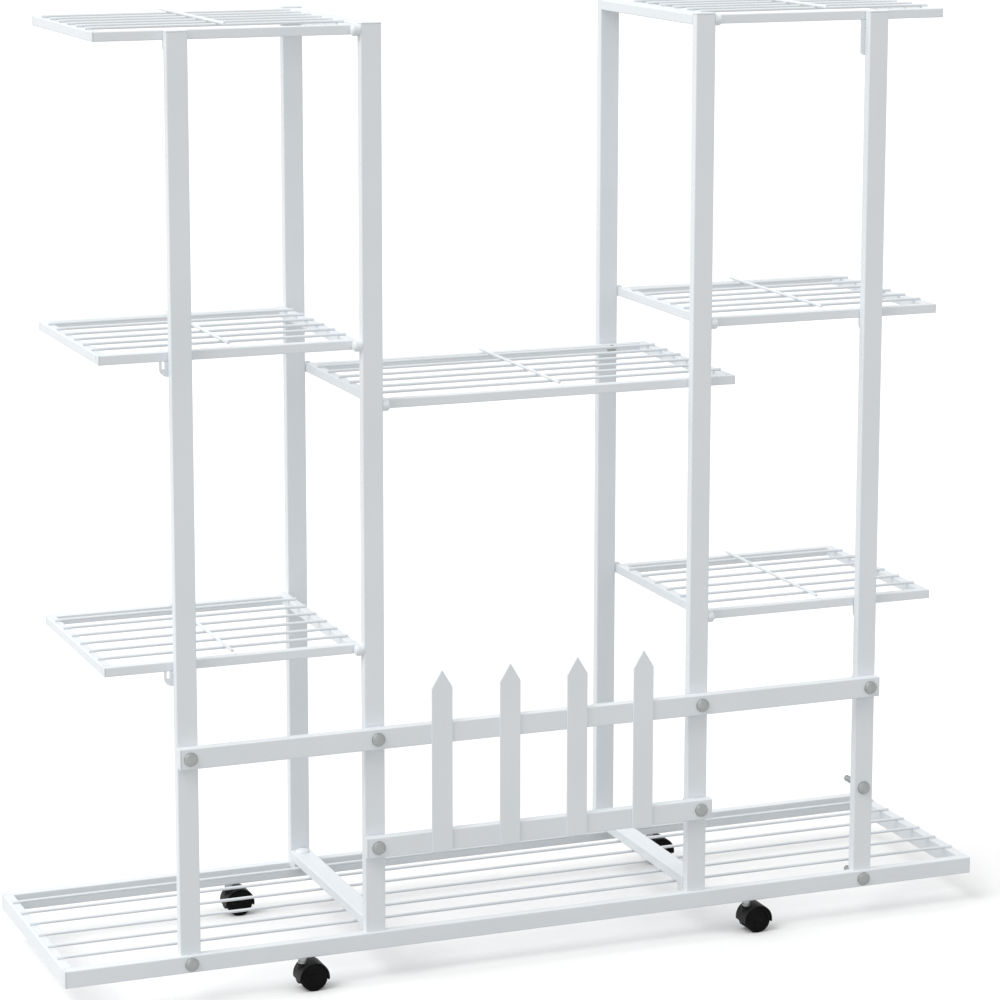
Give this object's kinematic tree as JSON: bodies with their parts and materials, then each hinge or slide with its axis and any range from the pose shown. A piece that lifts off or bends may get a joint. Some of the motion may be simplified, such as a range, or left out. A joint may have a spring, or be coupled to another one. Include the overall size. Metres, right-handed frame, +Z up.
{
  "type": "plant stand",
  "caption": "Tubular steel plant stand on casters: wire base tray, ladder posts with wire shelves stepped to both sides and between them, and a low picket fence across the front.",
  "frame": {"origin": "on the floor under the middle of the overall length and depth", "axes": "+X to the right along the length, +Y to the back, +Z up; the fence is at the front, -Y"},
  "size_m": [0.945, 0.2608, 0.9139],
  "materials": {
    "white_coat": "white powder coat",
    "zinc_steel": "zinc plated",
    "black_plastic": "moulded black",
    "black_tread": "moulded black",
    "white_plastic": "moulded white"
  },
  "bodies": {
    "frame": {"base_front_rail": "white_coat", "base_left_rail": "white_coat", "base_rear_rail": "white_coat", "base_right_rail": "white_coat", "base_wires": "white_coat", "caster_sockets": "white_plastic", "caster_stems": "zinc_steel", "fence_lower_rail": "white_coat", "fence_pickets": "white_coat", "fence_upper_rail": "white_coat", "foot_screws": "white_coat", "frame_bolts": "zinc_steel", "frame_nuts": "zinc_steel", "ladder_foot_blocks": "white_coat", "left_ladder_foot_bar": "white_coat", "left_ladder_front_post": "white_coat", "left_ladder_rear_post": "white_coat", "left_ladder_top_bar": "white_coat", "left_lower_shelf_frame": "white_coat", "left_lower_shelf_wires": "white_coat", "left_outer_post": "white_coat", "left_top_shelf_frame": "white_coat", "left_top_shelf_wires": "white_coat", "left_upper_shelf_frame": "white_coat", "left_upper_shelf_wires": "white_coat", "middle_shelf_frame": "white_coat", "middle_shelf_wires": "white_coat", "outer_post_foot_tabs": "white_coat", "outer_post_lugs": "white_coat", "right_ladder_foot_bar": "white_coat", "right_ladder_front_post": "white_coat", "right_ladder_rear_post": "white_coat", "right_ladder_top_bar": "white_coat", "right_lower_shelf_frame": "white_coat", "right_lower_shelf_wires": "white_coat", "right_outer_post": "white_coat", "right_top_shelf_frame": "white_coat", "right_top_shelf_wires": "white_coat", "right_upper_shelf_frame": "white_coat", "right_upper_shelf_wires": "white_coat", "shelf_bush_screws": "white_coat", "shelf_bushes": "white_coat", "shelf_short_screws": "zinc_steel", "tube_end_plugs": "white_plastic"},
    "front_left_caster": {"front_left_caster_hood": "black_plastic", "front_left_caster_axle": "black_tread"},
    "front_left_front_wheel": {"front_left_front_wheel": "black_tread"},
    "front_left_rear_wheel": {"front_left_rear_wheel": "black_tread"},
    "front_right_caster": {"front_right_caster_hood": "black_plastic", "front_right_caster_axle": "black_tread"},
    "front_right_front_wheel": {"front_right_front_wheel": "black_tread"},
    "front_right_rear_wheel": {"front_right_rear_wheel": "black_tread"},
    "rear_left_caster": {"rear_left_caster_hood": "black_plastic", "rear_left_caster_axle": "black_tread"},
    "rear_left_front_wheel": {"rear_left_front_wheel": "black_tread"},
    "rear_left_rear_wheel": {"rear_left_rear_wheel": "black_tread"},
    "rear_right_caster": {"rear_right_caster_hood": "black_plastic", "rear_right_caster_axle": "black_tread"},
    "rear_right_front_wheel": {"rear_right_front_wheel": "black_tread"},
    "rear_right_rear_wheel": {"rear_right_rear_wheel": "black_tread"}
  },
  "joints": [
    {"name": "front_left_swivel", "type": "hinge", "parent": "frame", "child": "front_left_caster", "pos_m": [-0.241, -0.11505, 0.026], "axis": [0, 0, 1], "continuous": true},
    {"name": "front_left_front_wheel_turn", "type": "hinge", "parent": "front_left_caster", "child": "front_left_front_wheel", "pos_m": [-0.232, -0.11505, 0.013], "axis": [0, 1, 0], "continuous": true},
    {"name": "front_left_rear_wheel_turn", "type": "hinge", "parent": "front_left_caster", "child": "front_left_rear_wheel", "pos_m": [-0.232, -0.11505, 0.013], "axis": [0, 1, 0], "continuous": true},
    {"name": "front_right_swivel", "type": "hinge", "parent": "frame", "child": "front_right_caster", "pos_m": [0.223, -0.11505, 0.026], "axis": [0, 0, 1], "continuous": true},
    {"name": "front_right_front_wheel_turn", "type": "hinge", "parent": "front_right_caster", "child": "front_right_front_wheel", "pos_m": [0.232, -0.11505, 0.013], "axis": [0, 1, 0], "continuous": true},
    {"name": "front_right_rear_wheel_turn", "type": "hinge", "parent": "front_right_caster", "child": "front_right_rear_wheel", "pos_m": [0.232, -0.11505, 0.013], "axis": [0, 1, 0], "continuous": true},
    {"name": "rear_left_swivel", "type": "hinge", "parent": "frame", "child": "rear_left_caster", "pos_m": [-0.241, 0.11995, 0.026], "axis": [0, 0, 1], "continuous": true},
    {"name": "rear_left_front_wheel_turn", "type": "hinge", "parent": "rear_left_caster", "child": "rear_left_front_wheel", "pos_m": [-0.232, 0.11995, 0.013], "axis": [0, 1, 0], "continuous": true},
    {"name": "rear_left_rear_wheel_turn", "type": "hinge", "parent": "rear_left_caster", "child": "rear_left_rear_wheel", "pos_m": [-0.232, 0.11995, 0.013], "axis": [0, 1, 0], "continuous": true},
    {"name": "rear_right_swivel", "type": "hinge", "parent": "frame", "child": "rear_right_caster", "pos_m": [0.223, 0.11995, 0.026], "axis": [0, 0, 1], "continuous": true},
    {"name": "rear_right_front_wheel_turn", "type": "hinge", "parent": "rear_right_caster", "child": "rear_right_front_wheel", "pos_m": [0.232, 0.11995, 0.013], "axis": [0, 1, 0], "continuous": true},
    {"name": "rear_right_rear_wheel_turn", "type": "hinge", "parent": "rear_right_caster", "child": "rear_right_rear_wheel", "pos_m": [0.232, 0.11995, 0.013], "axis": [0, 1, 0], "continuous": true}
  ]
}
